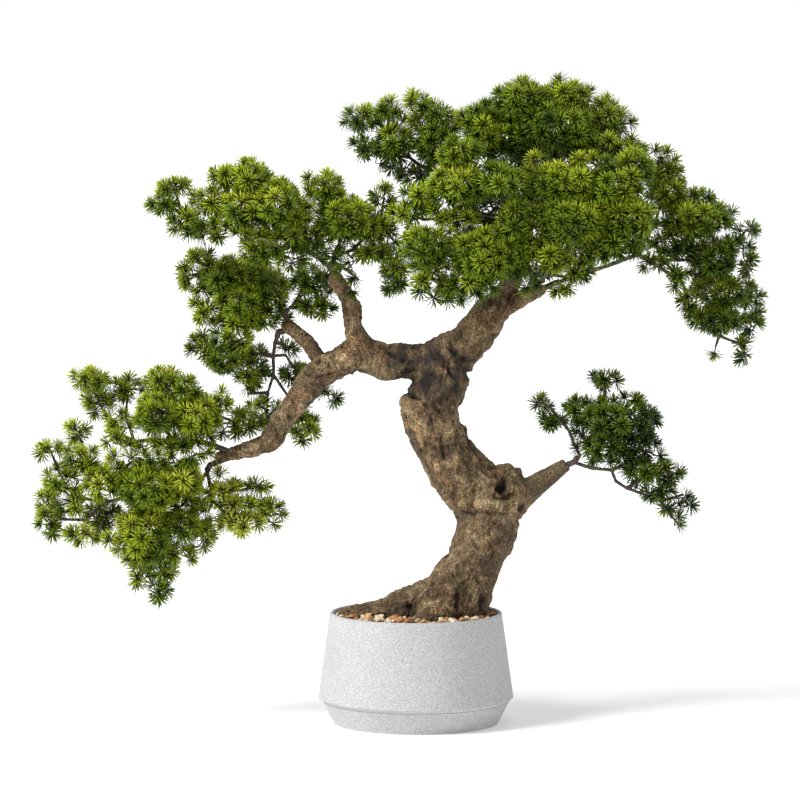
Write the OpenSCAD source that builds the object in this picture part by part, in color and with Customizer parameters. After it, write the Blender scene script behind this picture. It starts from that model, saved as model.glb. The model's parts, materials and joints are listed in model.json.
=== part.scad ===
// Artificial tabletop pine on a bent trunk, in a round planter with a matching saucer.
// Origin: centre of the saucer's underside. X to the tree's right, Y to its back, Z up. Millimetres.

/* [Planter] */
// Radius of the planter's rim, outside
rim_r = 86.5; // [84:0.5:90]
// Radius at the planter's widest edge, just above the saucer
widest_r = 98; // [96:0.5:102]
// Height of the rim above the table
rim_z = 111; // [110:1:116]
// Thickness of the planter's wall
wall = 4.5; // [3.5:0.5:6]
// Radius of the drain hole
drain_r = 6; // [4:0.5:8]

/* [Saucer] */
// Radius of the saucer's base, where it stands
saucer_base_r = 83; // [80:0.5:86]
// Radius of the saucer's top edge, at the seam
saucer_top_r = 94; // [92:0.5:96]
// Height of the saucer's top edge
saucer_h = 22; // [19:1:22]
// Thickness of the saucer's floor and wall
saucer_t = 5; // [4:0.5:6]

/* [Filling] */
// Height of the top of the cement ballast
ballast_top = 52; // [40:1:70]
// Height of the top of the foam block
foam_top = 98; // [94:1:99]
// Height of the soil that the stones lie on
soil_top = 105; // [103:1:105]
// Distance that sets how closely the stones lie
stone_pitch = 6.8; // [6.8:0.1:8]

/* [Tree] */
// Thickness of the moulded trunk and limbs
trunk_girth = 1; // [0.9:0.05:1.05]
// Radius of the steel rod inside the trunk
rod_r = 4; // [3:0.5:5]
// Radius of a spray's wire stem at its root
stem_r = 2.5; // [2:0.1:2.8]
// Radius of a twig at its tip
twig_r = 1.5; // [1.2:0.1:1.8]
// Fullness of the needle pads
pad_fullness = 1; // [0.85:0.05:1]
// Depth of the posable sprays from front to back, against the pads' listed depth
spray_depth = 1.25; // [0.8:0.05:1.25]

/* [Hidden] */

fit_gap = 0.3;            // air between the planter and its saucer
fill_gap = 0.4;           // air between each filling and the planter's wall
widest_z = 26;            // height of the planter's widest edge
foot_r = saucer_base_r - saucer_t - 2; // the planter's foot, which stands inside the saucer
foot_z = saucer_t + fit_gap;
pot_floor_z = foot_z + 7;
pot_inner_foot_r = foot_r - wall;
shoulder_z = widest_z + 3;
lip_r = 1.2;              // rounding of the planter's lip
plug_head_r = drain_r + 4;
plug_head_t = 2.5;
root_cut_z = foam_top;    // the trunk's flat foot stands on the foam

BARK = "#6d5a45";
SMOOTH_BARK = "#5f5040";
STEM = "#33241f";
STEEL = "#8d9196";
SHELL = "#c9cac8";
GREEN = "#5c8a2a";
DEEP_GREEN = "#3f6b24";

// Radius of the planter's inner wall at height z
function inner_r(z) = rim_r - wall + (rim_z - z) * (widest_r - rim_r) / (rim_z - widest_z);

// Moulded wood: each row is [x, y, z, radius] of one ball in a chain
TRUNK = [[38, 0, 122, 36], [46, 0, 140, 32.5], [56, 0, 155, 29], [61, 1, 168, 29.5], [66, 1, 182, 29.5],
    [72, 2, 196, 31], [73, 2, 208, 32], [64, 1, 226, 32], [55, 0, 239, 31.5], [41, -2, 254, 30],
    [32, -3, 269, 28.5], [24, -3, 283, 28.5], [16, -2, 299, 28.5], [13, 0, 317, 29], [23, 1, 333, 27],
    [23, 1, 346, 28.5], [22, 0, 362, 26]];
TRUNK_LUMPS = [[89, 0, 240, 20.5], [93, -2, 219, 19], [86, 0, 174, 8.5], [44, -4, 342, 9],
    [46, -3, 295, 6], [66, -22, 226, 12], [4, -16, 312, 12], [36, -20, 262, 11], [34, -26, 140, 15],
    [60, 22, 136, 18]];
ROOTS = [[[16, -4, 122, 25], [-14, -9, 117, 18], [-38, -10, 112, 12.5], [-60, -9, 110, 9.5],
    [-72, -7, 107, 6.5]], [[32, -12, 114, 28], [18, -30, 110, 20], [6, -46, 105, 11]],
    [[42, 14, 114, 28], [50, 36, 108, 14], [54, 46, 104, 7]]];
LEADER = [[24, 0, 364, 24], [37, 0, 371, 22], [49, 0, 379, 20], [60, 0, 390, 20.5], [68, 0, 402, 19],
    [74, 0, 414, 16.5], [86, 2, 426, 11.5], [96, 4, 444, 10], [104, 6, 471, 9], [109, 8, 501, 8],
    [113, 9, 532, 7.5], [116, 10, 560, 6.5], [117, 10, 574, 5.5]];
LEADER_FORK = [[76, 0, 411, 13], [94, -2, 421, 10], [109, -4, 428, 8], [124, -5, 435, 6]];
LIMB = [[4, 0, 364, 19], [-16, 0, 363, 18.5], [-31, 0, 361, 18.5], [-46, 0, 367, 17.5],
    [-61, -1, 370, 18], [-76, -1, 363, 16], [-90, -2, 356, 16], [-102, -3, 345, 15],
    [-114, -4, 330, 13], [-124, -5, 317, 12], [-134, -6, 304, 12], [-139, -6, 292, 11],
    [-149, -7, 282, 10.5], [-160, -8, 277, 9.5], [-172, -8, 275, 8.5], [-184, -8, 272, 7],
    [-195, -8, 269, 5.5]];
UPRIGHT = [[-56, -1, 374, 17], [-58, -1, 382, 13.5], [-60, -2, 391, 11], [-62, -3, 400, 9.7],
    [-63, -4, 412, 9.5], [-65, -4, 421, 9.5], [-70, -5, 430, 9.3], [-75, -5, 438, 8.7], [-80, -6, 446, 7.5]];
BACK = [[-94, 2, 357, 11], [-98, 6, 366, 9], [-105, 11, 376, 8], [-112, 16, 384, 7.5],
    [-119, 20, 391, 7.2], [-129, 25, 398, 7]];
LOW_RIGHT_ROOT = [88, 0, 217];
LOW_RIGHT_TIP = [151, 0, 260];
LOW_RIGHT_R = [17, 6.5];

// Bend points of the posable sprays: the wire bends here, just outside the branch that holds it
BEND_LOW_LEFT_UPPER = [-204, -9, 280];
BEND_LOW_LEFT_LOWER = [-206, -8, 260];
BEND_UPPER_LEFT = [-85, -7, 456];
BEND_MID_LEFT = [-133, 27, 409];
BEND_HANGING = [-138, 28, 391];
BEND_CROWN_LEFT = [70, 16, 538];
BEND_CROWN_RIGHT = [137, -3, 441];
BEND_LOW_RIGHT = [158, 0, 262];
// Each peg runs from inside the wood towards a bend point
PEGS = [[[-187, -9, 274], BEND_LOW_LEFT_UPPER], [[-188, -8, 267], BEND_LOW_LEFT_LOWER],
    [[-76, -5, 441], BEND_UPPER_LEFT], [[-127, 25, 400], BEND_MID_LEFT],
    [[-129, 24, 393], BEND_HANGING], [[109, 8, 522], BEND_CROWN_LEFT],
    [[119, -5, 433], BEND_CROWN_RIGHT], [[145, 0, 257], BEND_LOW_RIGHT]];

// Wire stems: each row is one wire, as the points that it passes, thinning to its tip
CROWN_TOP_WIRES = [[[116, 10, 566], [104, 10, 588], [88, 14, 596], [72, 18, 602]],
    [[117, 10, 570], [122, 9, 595], [112, 10, 612], [104, 10, 625]],
    [[122, 9, 595], [138, 6, 606], [152, 16, 626]], [[117, 10, 566], [146, 4, 586], [172, 12, 596],
    [187, 18, 606], [206, 28, 603]], [[146, 4, 586], [176, 4, 578], [210, 18, 571]]];
CROWN_BACK_WIRES = [[[105, 8, 478], [108, 40, 488], [112, 68, 498], [92, 88, 508], [78, 94, 514]],
    [[112, 68, 498], [134, 88, 512], [144, 98, 524]], [[134, 88, 512], [128, 98, 540],
    [124, 100, 560]], [[112, 68, 498], [150, 78, 498], [184, 82, 500]],
    [[108, 40, 488], [108, 66, 468], [112, 88, 459]], [[108, 66, 468], [80, 76, 474], [56, 80, 476]]];
CROWN_FRONT_LEFT_WIRES = [[[72, -4, 404], [65, -14, 420], [62, -32, 438], [56, -50, 450],
    [34, -54, 446], [16, -55, 448]], [[56, -50, 450], [38, -56, 468], [12, -58, 480]],
    [[62, -32, 438], [68, -52, 458], [70, -64, 474]], [[94, 2, 440], [90, -18, 452], [90, -44, 466]],
    [[108, 4, 496], [92, -22, 506], [64, -38, 512], [46, -46, 528], [44, -50, 542]],
    [[64, -38, 512], [36, -44, 508], [6, -38, 506], [4, -40, 526]],
    [[92, -22, 506], [84, -44, 524], [80, -58, 542]]];
CROWN_FRONT_RIGHT_WIRES = [[[112, -4, 429], [120, -16, 438], [128, -36, 452], [134, -52, 468],
    [134, -58, 478]], [[128, -36, 452], [146, -44, 450], [158, -50, 456]],
    [[109, 6, 500], [120, -18, 506], [138, -44, 508], [142, -52, 528], [142, -50, 542]],
    [[138, -44, 508], [170, -48, 512], [198, -46, 510], [194, -42, 536]],
    [[170, -48, 512], [186, -52, 496], [200, -54, 487]]];
CROWN_LEFT_WIRES = [[BEND_CROWN_LEFT, [52, 22, 545], [26, 26, 552], [4, 28, 558], [-14, 28, 572],
    [-34, 24, 574], [-50, 21, 577]], [[4, 28, 558], [2, 26, 551]],
    [[-14, 28, 572], [-28, 28, 594], [-50, 26, 606]], [[26, 26, 552], [24, 28, 584], [10, 23, 606],
    [2, 21, 620]], [[24, 28, 584], [20, 25, 610]], [[-28, 28, 594], [-27, 30, 614]]];
CROWN_RIGHT_WIRES = [[BEND_CROWN_RIGHT, [160, 2, 448], [190, 7, 458], [222, 8, 470], [240, 8, 459],
    [254, 8, 450], [265, 8, 444], [270, 8, 432], [268, 8, 420], [276, 8, 409], [288, 10, 397],
    [304, 13, 388], [328, 15, 378]], [[232, 8, 465], [252, 10, 464], [284, 15, 464], [298, 20, 470],
    [318, 20, 480], [332, 24, 494]], [[254, 8, 450], [276, 10, 452], [300, 18, 440], [332, 23, 432]],
    [[222, 8, 470], [238, 18, 498], [250, 36, 530], [246, 44, 552]],
    [[238, 18, 498], [274, 24, 506], [306, 29, 510]], [[276, 8, 409], [302, 14, 406], [334, 19, 401]],
    [[304, 13, 388], [300, 11, 377]]];
UPPER_LEFT_WIRES = [[BEND_UPPER_LEFT, [-98, -12, 468], [-112, -18, 478], [-134, -22, 488],
    [-156, -22, 490], [-178, -20, 494], [-194, -17, 502], [-210, -18, 500], [-226, -22, 503]],
    [[-134, -22, 488], [-138, -28, 512]], [[-178, -20, 494], [-168, -22, 512], [-164, -20, 540]],
    [[-194, -17, 502], [-204, -12, 522], [-190, -11, 546]], [[-210, -18, 500], [-232, -18, 512],
    [-252, -19, 521]], [[-232, -18, 512], [-240, -16, 536]]];
UPPER_MIDDLE_WIRES = [[BEND_UPPER_LEFT, [-82, -8, 470], [-74, -11, 486], [-70, -14, 504],
    [-82, -11, 524], [-88, -10, 538]], [[-82, -8, 470], [-64, -6, 474], [-46, -4, 476], [-34, -5, 466],
    [-24, -5, 458]], [[-64, -6, 474], [-48, 2, 490], [-36, 2, 504], [-32, 0, 526]],
    [[-84, -8, 464], [-74, 6, 458], [-64, 18, 450], [-58, 22, 444]]];
MID_LEFT_WIRES = [[BEND_MID_LEFT, [-142, 29, 424], [-152, 30, 434], [-176, 30, 440], [-196, 28, 448],
    [-218, 22, 462]], [[-152, 30, 434], [-166, 38, 452]], [[-142, 29, 424], [-176, 26, 418],
    [-208, 25, 414]], [[-176, 26, 418], [-178, 22, 402]], [[BEND_MID_LEFT[0], 27, 409],
    [-122, 30, 420], [-112, 34, 438]], [[-122, 30, 420], [-108, 30, 416], [-95, 30, 418]],
    [[-196, 28, 448], [-224, 25, 449]]];
HANGING_WIRES = [[BEND_HANGING, [-142, 34, 380], [-144, 42, 366], [-144, 50, 346], [-150, 52, 328],
    [-151, 54, 310]], [[-144, 42, 366], [-166, 52, 368], [-192, 55, 364], [-215, 50, 373]],
    [[-144, 50, 346], [-132, 52, 328], [-120, 46, 306], [-114, 45, 300]],
    [[-144, 42, 366], [-132, 54, 366], [-122, 60, 350]], [[-144, 50, 346], [-166, 58, 344]],
    [[-122, 60, 350], [-104, 52, 334], [-88, 45, 328]], [[-142, 34, 380], [-136, 54, 378],
    [-132, 64, 373]], [[-150, 52, 328], [-170, 50, 327]]];
LOW_LEFT_UPPER_WIRES = [[BEND_LOW_LEFT_UPPER, [-219, -11, 284], [-240, -12, 282], [-262, -12, 286],
    [-281, -14, 284], [-300, -14, 294], [-309, -12, 308], [-318, 0, 325], [-326, -9, 346]],
    [[-240, -12, 282], [-252, -10, 298], [-256, -10, 318], [-251, -2, 344]],
    [[-219, -11, 284], [-222, -2, 300], [-218, 0, 318], [-228, -16, 338]],
    [[-281, -14, 284], [-290, -2, 308], [-289, 14, 336]], [[-222, -2, 300], [-198, 8, 308],
    [-184, 16, 302]], [[-198, 8, 308], [-196, 10, 322]], [[-300, -14, 294], [-301, -22, 284]]];
LOW_LEFT_LOWER_WIRES = [[BEND_LOW_LEFT_LOWER, [-212, -8, 248], [-226, -8, 238], [-252, -10, 232],
    [-285, -10, 228], [-313, -6, 222], [-331, -5, 226], [-348, -4, 236], [-356, -4, 250],
    [-366, 0, 274]], [[-313, -6, 222], [-330, -10, 205], [-355, -4, 205], [-368, 0, 214]],
    [[-330, -10, 205], [-333, -14, 194]], [[-252, -10, 232], [-266, -6, 204], [-262, 0, 174],
    [-276, 0, 150]], [[-262, 0, 174], [-256, 0, 152], [-258, 0, 135]],
    [[-285, -10, 228], [-304, -14, 246], [-330, -9, 266], [-339, 8, 292]],
    [[-266, -6, 204], [-240, 2, 196], [-216, 5, 194]], [[-256, 0, 152], [-248, 0, 150]],
    [[-304, -14, 246], [-286, -18, 262], [-274, -20, 268]]];
LOW_LEFT_INNER_WIRES = [[[-209, -8, 254], [-206, -8, 240], [-203, -7, 224], [-190, -6, 210],
    [-166, -4, 204], [-150, 3, 214]], [[-206, -8, 240], [-194, -6, 236], [-176, -3, 234],
    [-160, 0, 237]], [[-203, -7, 224], [-208, 0, 212]]];
LOW_RIGHT_WIRES = [[BEND_LOW_RIGHT, [164, 0, 269], [158, 0, 281], [153, 0, 294], [145, -2, 305],
    [135, -3, 316], [126, -5, 322]], [[BEND_LOW_RIGHT[0], 0, 262], [176, 0, 256], [196, 0, 254],
    [200, 0, 243], [211, 0, 236], [227, 0, 230], [244, 0, 223], [258, 0, 206], [261, 0, 201]],
    [[176, 0, 256], [184, -3, 278], [190, 0, 306], [189, 0, 344]],
    [[196, 0, 254], [214, 2, 262], [228, 2, 284], [230, 5, 308], [218, 9, 324]],
    [[211, 0, 236], [236, 2, 250], [254, -4, 254]], [[244, 0, 223], [258, 2, 226], [268, 5, 229]],
    [[145, -2, 305], [158, 4, 314]]];

// Needle pads: each row is [x, y, z, half width, half depth, half height] of one cloud of needles
CROWN_TOP_PADS = [[72, 20, 602, 19, 27, 24], [104, 8, 624, 30, 38, 21], [152, 18, 627, 27, 36, 19],
    [139, 0, 597, 42, 44, 27], [98, 14, 588, 28, 34, 20], [187, 18, 606, 18, 28, 24],
    [68, 6, 588, 18, 26, 25], [53, 4, 603, 13, 20, 15], [207, 28, 603, 12, 15, 14],
    [209, 18, 573, 22, 30, 15], [176, 0, 581, 26, 30, 14]];
CROWN_BACK_PADS = [[84, 96, 512, 40, 34, 25], [146, 100, 522, 40, 36, 26], [122, 98, 560, 42, 34, 24],
    [186, 84, 500, 30, 28, 22], [56, 82, 476, 30, 27, 20], [114, 92, 458, 34, 28, 20],
    [165, 72, 543, 23, 22, 18], [78, 72, 548, 20, 20, 15]];
CROWN_FRONT_LEFT_PADS = [[4, -40, 530, 22, 20, 14], [43, -50, 542, 34, 35, 21],
    [79, -60, 546, 24, 30, 17], [41, -46, 508, 24, 22, 12], [-8, -40, 512, 20, 14, 12],
    [10, -60, 480, 27, 29, 23], [14, -56, 449, 20, 20, 13], [35, -53, 441, 15, 14, 10],
    [69, -66, 473, 36, 34, 27], [53, -60, 448, 24, 22, 13], [91, -54, 470, 20, 28, 24],
    [44, -46, 573, 22, 22, 16], [96, -64, 508, 14, 24, 25]];
CROWN_FRONT_RIGHT_PADS = [[142, -50, 543, 33, 36, 21], [194, -42, 541, 35, 34, 23],
    [148, -66, 507, 36, 36, 24], [204, -46, 508, 35, 34, 25], [198, -56, 486, 26, 24, 12],
    [134, -60, 477, 20, 28, 21], [159, -50, 458, 18, 18, 11],
    [214, -40, 556, 20, 24, 20], [173, -52, 477, 22, 20, 13]];
CROWN_LEFT_PADS = [[-53, 25, 608, 20, 22, 13], [-27, 28, 615, 13, 15, 11], [-50, 20, 577, 16, 19, 11],
    [-22, 30, 582, 21, 28, 19], [0, 20, 621, 14, 18, 12], [20, 25, 611, 13, 19, 12],
    [20, 30, 582, 22, 34, 26], [0, 26, 550, 18, 20, 9]];
CROWN_RIGHT_PADS = [[246, 45, 553, 18, 24, 13], [252, 40, 531, 20, 28, 17], [284, 25, 527, 15, 17, 9],
    [277, 25, 505, 32, 35, 21], [306, 30, 510, 14, 20, 14], [257, 16, 482, 24, 22, 17],
    [332, 25, 495, 11, 12, 10], [318, 20, 481, 17, 17, 9], [297, 20, 467, 26, 30, 20],
    [333, 16, 462, 10, 12, 16], [306, 20, 434, 30, 30, 18], [334, 24, 431, 12, 15, 13],
    [302, 15, 405, 28, 26, 14], [336, 20, 400, 11, 14, 12],
    [329, 15, 377, 11, 12, 10], [300, 10, 375, 9, 10, 8], [238, 6, 462, 13, 14, 9],
    [262, 8, 453, 12, 15, 9], [270, 8, 425, 8, 12, 11]];
UPPER_LEFT_PADS = [[-240, -15, 539, 18, 21, 11], [-253, -20, 522, 15, 19, 11],
    [-229, -24, 508, 18, 19, 11], [-204, -12, 525, 20, 25, 14], [-189, -10, 550, 15, 19, 11],
    [-164, -20, 548, 22, 30, 17], [-167, -25, 518, 28, 32, 19], [-137, -30, 523, 26, 36, 25],
    [-125, -30, 488, 23, 25, 13], [-118, -24, 512, 11, 28, 24], [-108, -20, 486, 16, 22, 14],
    [-152, -36, 476, 25, 18, 13], [-122, -34, 468, 20, 18, 10],
    [-202, -24, 500, 26, 18, 9], [-164, -28, 492, 22, 20, 9]];
UPPER_MIDDLE_PADS = [[-88, -10, 537, 17, 23, 17], [-70, -16, 508, 32, 36, 23],
    [-42, 2, 498, 20, 24, 15], [-32, 0, 528, 12, 14, 12], [-22, -6, 453, 12, 15, 19],
    [-44, -8, 474, 21, 20, 12]];
MID_LEFT_PADS = [[-217, 21, 465, 13, 14, 12], [-225, 25, 449, 12, 15, 10], [-191, 30, 449, 26, 32, 19],
    [-209, 25, 414, 13, 17, 13], [-166, 40, 451, 26, 32, 17], [-177, 26, 422, 27, 36, 21],
    [-145, 32, 433, 20, 32, 23], [-178, 22, 402, 24, 26, 10], [-108, 36, 443, 20, 23, 15],
    [-94, 31, 419, 12, 14, 12], [-184, 10, 386, 22, 20, 12], [-108, 34, 421, 15, 16, 12],
    [-152, 14, 405, 14, 16, 10]];
HANGING_PADS = [[-216, 50, 373, 14, 17, 9], [-194, 56, 362, 24, 27, 12], [-166, 60, 366, 16, 22, 10],
    [-166, 61, 349, 18, 25, 12], [-131, 66, 373, 11, 13, 9], [-122, 62, 346, 14, 20, 15],
    [-151, 56, 308, 19, 22, 19], [-114, 47, 298, 15, 17, 21],
    [-86, 46, 327, 13, 15, 10]];
LOW_LEFT_UPPER_PADS = [[-326, -10, 348, 19, 21, 12], [-318, 4, 326, 17, 20, 14],
    [-289, 15, 337, 16, 18, 12], [-251, -2, 346, 19, 24, 13], [-228, -18, 339, 13, 16, 12],
    [-257, -12, 315, 25, 44, 22], [-219, 0, 311, 26, 42, 23], [-196, 10, 323, 11, 13, 11],
    [-180, 22, 302, 19, 12, 13], [-300, -24, 288, 11, 13, 11], [-240, -24, 283, 22, 18, 11],
    [-298, -8, 306, 13, 14, 14]];
LOW_LEFT_LOWER_PADS = [[-366, 0, 276, 13, 14, 10], [-339, 10, 295, 12, 14, 11],
    [-336, -10, 268, 16, 20, 15], [-356, -5, 246, 17, 20, 15], [-368, 0, 213, 13, 18, 23],
    [-333, -15, 193, 18, 19, 12], [-315, 14, 212, 18, 21, 14], [-313, -16, 245, 19, 22, 19],
    [-266, -10, 240, 36, 46, 25], [-271, -4, 195, 32, 42, 27], [-261, 0, 172, 34, 28, 14],
    [-277, 0, 148, 12, 12, 9], [-248, 2, 151, 13, 13, 9], [-258, 0, 134, 11, 11, 9],
    [-213, 8, 190, 11, 15, 18], [-231, 14, 226, 16, 28, 18],
    [-229, -18, 251, 16, 26, 15], [-232, -12, 204, 18, 22, 16], [-302, -18, 256, 16, 18, 11],
    [-343, -8, 220, 13, 16, 10]];
LOW_LEFT_INNER_PADS = [[-190, -6, 237, 16, 18, 11], [-160, 0, 238, 14, 17, 10],
    [-172, -5, 204, 27, 24, 12], [-145, 3, 213, 13, 15, 15],
    [-178, -4, 221, 24, 16, 9]];
LOW_RIGHT_PADS = [[125, -5, 323, 12, 13, 11], [137, 5, 302, 11, 12, 8], [189, 0, 346, 15, 15, 11],
    [161, 5, 316, 12, 16, 13], [191, 0, 308, 28, 32, 22],
    [187, -5, 279, 21, 26, 14], [216, 9, 324, 12, 12, 9], [230, 5, 311, 12, 16, 13],
    [229, -4, 283, 14, 18, 12], [225, 4, 255, 18, 22, 16], [253, -3, 254, 17, 18, 13],
    [240, 0, 234, 16, 16, 9], [250, -4, 217, 9, 11, 8],
    [261, 0, 200, 9, 10, 8], [214, -4, 300, 16, 18, 20], [212, 0, 272, 14, 16, 12],
    [166, -2, 278, 9, 12, 11]];

WOOD_FN = 12;   // sides of a ball of wood
WIRE_FN = 5;    // sides of a wire
PAD_FN = 7;     // sides of a cloud of needles
PEG_GAP = 0.6;  // air between a peg's end and the wire that bends there

module ball(row, girth = 1) {
    translate([row[0], row[1], row[2]])
        sphere(r = row[3] * girth, $fn = WOOD_FN);
}

module chain(rows, girth = 1) {
    for (i = [0 : len(rows) - 2])
        hull() {
            ball(rows[i], girth);
            ball(rows[i + 1], girth);
        }
}

module wire(points, r_root, r_tip) {
    last = len(points) - 1;
    for (i = [0 : last - 1])
        hull() {
            translate(points[i])
                sphere(r = r_root + (r_tip - r_root) * i / last, $fn = WIRE_FN);
            translate(points[i + 1])
                sphere(r = r_root + (r_tip - r_root) * (i + 1) / last, $fn = WIRE_FN);
        }
}

module wires(rows) {
    color(STEM)
        for (i = [0 : len(rows) - 1])
            wire(rows[i], i == 0 ? stem_r : (stem_r + twig_r) / 2, twig_r);
}

module pads(rows, tint, depth = spray_depth) {
    color(tint)
        for (row = rows)
            hull()
                translate([row[0], row[1], row[2]])
                    scale([row[3], row[4] * depth, row[5]] * pad_fullness)
                        sphere(r = 1, $fn = PAD_FN);
}

// A straight round bar between two points
module bar(from, to, r_from, r_to) {
    run = to - from;
    translate(from)
        rotate([0, acos(run[2] / norm(run)), atan2(run[1], run[0])])
            cylinder(h = norm(run), r1 = r_from, r2 = r_to, $fn = 48);
}

module saucer() {
    color(SHELL)
        rotate_extrude($fn = 128)
            polygon([[0, 0], [saucer_base_r, 0], [saucer_top_r, saucer_h],
                [saucer_top_r - saucer_t, saucer_h], [saucer_base_r - saucer_t + 1, saucer_t],
                [0, saucer_t]]);
}

module planter_pot() {
    seam_z = saucer_h + fit_gap;
    color(SHELL)
        difference() {
            rotate_extrude($fn = 128)
                polygon([[0, foot_z], [foot_r, foot_z], [foot_r, seam_z], [saucer_top_r, seam_z],
                    [widest_r, widest_z], [rim_r, rim_z - lip_r], [rim_r - lip_r, rim_z],
                    [rim_r - wall + lip_r, rim_z],
                    [inner_r(rim_z), rim_z - lip_r], [inner_r(shoulder_z), shoulder_z],
                    [pot_inner_foot_r, shoulder_z - 1], [pot_inner_foot_r, pot_floor_z], [0, pot_floor_z]]);
            translate([0, 0, foot_z - 1])
                cylinder(h = pot_floor_z - foot_z + 2, r = drain_r, $fn = 48);
        }
}

module drain_plug() {
    color("dimgray") {
        translate([0, 0, foot_z + 1])
            cylinder(h = pot_floor_z - foot_z - 1, r = drain_r - 0.1, $fn = 48);
        translate([0, 0, pot_floor_z])
            cylinder(h = plug_head_t, r = plug_head_r, $fn = 48);
    }
}

module cement_ballast() {
    color("gray")
        difference() {
            rotate_extrude($fn = 128)
                polygon([[0, pot_floor_z], [pot_inner_foot_r - fill_gap, pot_floor_z],
                    [pot_inner_foot_r - fill_gap, shoulder_z + 0.5],
                    [inner_r(shoulder_z) - 2 * fill_gap, shoulder_z + 0.5],
                    [inner_r(ballast_top) - fill_gap, ballast_top], [0, ballast_top]]);
            translate([0, 0, pot_floor_z - 1])
                cylinder(h = plug_head_t + 1 + fill_gap, r = plug_head_r + fill_gap, $fn = 48);
        }
}

module foam_block() {
    color("palegoldenrod")
        translate([0, 0, ballast_top])
            cylinder(h = foam_top - ballast_top, r1 = inner_r(ballast_top) - fill_gap,
                r2 = inner_r(foam_top) - fill_gap, $fn = 128);
}

module soil_layer() {
    color("#2b211b")
        translate([0, 0, foam_top])
            cylinder(h = soil_top - foam_top, r1 = inner_r(foam_top) - fill_gap,
                r2 = inner_r(soil_top) - fill_gap, $fn = 128);
}

// Stones lie on a sunflower spiral, left out where the trunk and its roots stand
GOLDEN_ANGLE = 137.508;
function stone_at(i) = stone_pitch * sqrt(i) * [cos(i * GOLDEN_ANGLE), sin(i * GOLDEN_ANGLE)];
function stone_size(i) = 4.3 + 0.9 * abs(sin(i * 77));
function off_wood(p, margin) = norm(p - [TRUNK[0][0], TRUNK[0][1]]) > TRUNK[0][3] + margin
    && len([for (root = ROOTS, row = root) if (norm(p - [row[0], row[1]]) < row[3] + margin) 1]) == 0;

module stones(share) {
    last = floor(pow((inner_r(soil_top) - 8) / stone_pitch, 2));
    for (i = [0 : last])
        if (i % 3 == share && off_wood(stone_at(i), 7))
            translate([stone_at(i)[0], stone_at(i)[1], soil_top])
                intersection() {
                    translate([0, 0, 0.5])
                        sphere(r = stone_size(i), $fn = 32);
                    cylinder(h = 12, r = 12, $fn = 32);
                }
}

module pale_stones() { color("#e6d6b8") stones(0); }

module tan_stones() { color("#c69a63") stones(1); }

module rust_stones() { color("#a8683a") stones(2); }

// The steel frame inside the moulded wood
module core_rod() {
    color(STEEL) {
        wire([[60, 0, 24], [33, 0, 24], [33, 0, 60], [33, 0, 128], [55, 0, 163], [70, 2, 193], [68, 1, 222],
            [41, -2, 254], [17, -2, 299], [20, 1, 332], [22, 0, 356]], rod_r, rod_r);
    }
}

module limb_wire() {
    color(STEEL)
        wire([for (row = LIMB) [row[0], row[1], row[2]]], 2.6, 2);
}

module leader_wire() {
    color(STEEL)
        wire([for (row = LEADER) [row[0], row[1], row[2]]], 2.6, 2);
}

module lower_trunk() {
    color(BARK)
        difference() {
            union() {
                chain(TRUNK, trunk_girth);
                for (root = ROOTS)
                    chain(root, trunk_girth);
                for (row = TRUNK_LUMPS)
                    ball(row, trunk_girth);
            }
            translate([-150, -150, root_cut_z - 100])
                cube([300, 300, 100]);
        }
}

module leader() {
    color(BARK) {
        chain(LEADER, trunk_girth);
        chain(LEADER_FORK, trunk_girth);
    }
}

module left_limb() { color(BARK) chain(LIMB, trunk_girth); }

module upright_branch() { color(BARK) chain(UPRIGHT); }

module back_branch() { color(BARK) chain(BACK); }

module low_right_branch() {
    color(SMOOTH_BARK)
        bar(LOW_RIGHT_ROOT, LOW_RIGHT_TIP, LOW_RIGHT_R[0], LOW_RIGHT_R[1]);
}

// Short fixed ends of the bending wires, glued into the wood; each stops just short of its bend point
module stem_pegs() {
    color(STEM)
        for (peg = PEGS) {
            run = peg[1] - peg[0];
            stop = peg[1] - run / norm(run) * (stem_r + PEG_GAP);
            bar(peg[0], stop, stem_r, stem_r);
        }
}

module crown_top_stem() { wires(CROWN_TOP_WIRES); }
module crown_top_needles() { pads(CROWN_TOP_PADS, GREEN, 1); }
module crown_back_stem() { wires(CROWN_BACK_WIRES); }
module crown_back_needles() { pads(CROWN_BACK_PADS, DEEP_GREEN, 1); }
module crown_front_left_stem() { wires(CROWN_FRONT_LEFT_WIRES); }
module crown_front_left_needles() { pads(CROWN_FRONT_LEFT_PADS, GREEN, 1); }
module crown_front_right_stem() { wires(CROWN_FRONT_RIGHT_WIRES); }
module crown_front_right_needles() { pads(CROWN_FRONT_RIGHT_PADS, GREEN, 1); }
module crown_left_stem() { wires(CROWN_LEFT_WIRES); }
module crown_left_needles() { pads(CROWN_LEFT_PADS, GREEN); }
module crown_right_stem() { wires(CROWN_RIGHT_WIRES); }
module crown_right_needles() { pads(CROWN_RIGHT_PADS, DEEP_GREEN); }
module upper_left_stem() { wires(UPPER_LEFT_WIRES); }
module upper_left_needles() { pads(UPPER_LEFT_PADS, GREEN); }
module upper_middle_stem() { wires(UPPER_MIDDLE_WIRES); }
module upper_middle_needles() { pads(UPPER_MIDDLE_PADS, GREEN); }
module mid_left_stem() { wires(MID_LEFT_WIRES); }
module mid_left_needles() { pads(MID_LEFT_PADS, DEEP_GREEN); }
module hanging_left_stem() { wires(HANGING_WIRES); }
module hanging_left_needles() { pads(HANGING_PADS, DEEP_GREEN); }
module low_left_upper_stem() { wires(LOW_LEFT_UPPER_WIRES); }
module low_left_upper_needles() { pads(LOW_LEFT_UPPER_PADS, GREEN); }
module low_left_lower_stem() { wires(LOW_LEFT_LOWER_WIRES); }
module low_left_lower_needles() { pads(LOW_LEFT_LOWER_PADS, GREEN); }
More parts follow.
